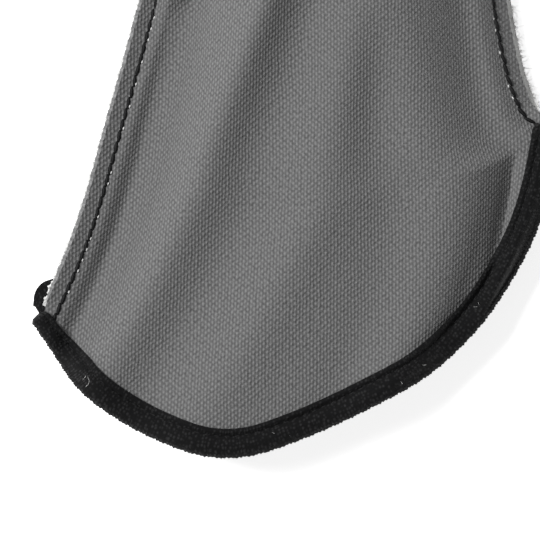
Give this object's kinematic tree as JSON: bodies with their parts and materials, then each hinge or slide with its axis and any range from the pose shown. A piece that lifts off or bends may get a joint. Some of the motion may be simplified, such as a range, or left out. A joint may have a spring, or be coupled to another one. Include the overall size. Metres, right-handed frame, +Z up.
{
  "type": "karting glove",
  "caption": "Gauntlet karting glove lying palm down, with a gathered knit cuff, raw outside seams and a bound hem.",
  "frame": {"origin": "on the resting surface, under the middle of the glove's box", "axes": "+Y towards the fingers, +Z up out of the back of the hand, +X towards the thumb's side"},
  "size_m": [0.1668, 0.2956, 0.0274],
  "materials": {
    "grey_knit": "matt grey mesh knit with fine upright wales",
    "palm_suede": "dark brushed suede",
    "black_binding": "matt black knit tape",
    "white_lining": "soft white brushed lining",
    "black_thread": "black sewing thread"
  },
  "bodies": {
    "root": {"back_panel": "grey_knit", "palm_panel": "palm_suede", "cuff_palm_panel": "grey_knit", "hem_binding": "black_binding", "seam_lining_little_side": "white_lining", "seam_lining_thumb_side": "white_lining"}
  },
  "joints": []
}
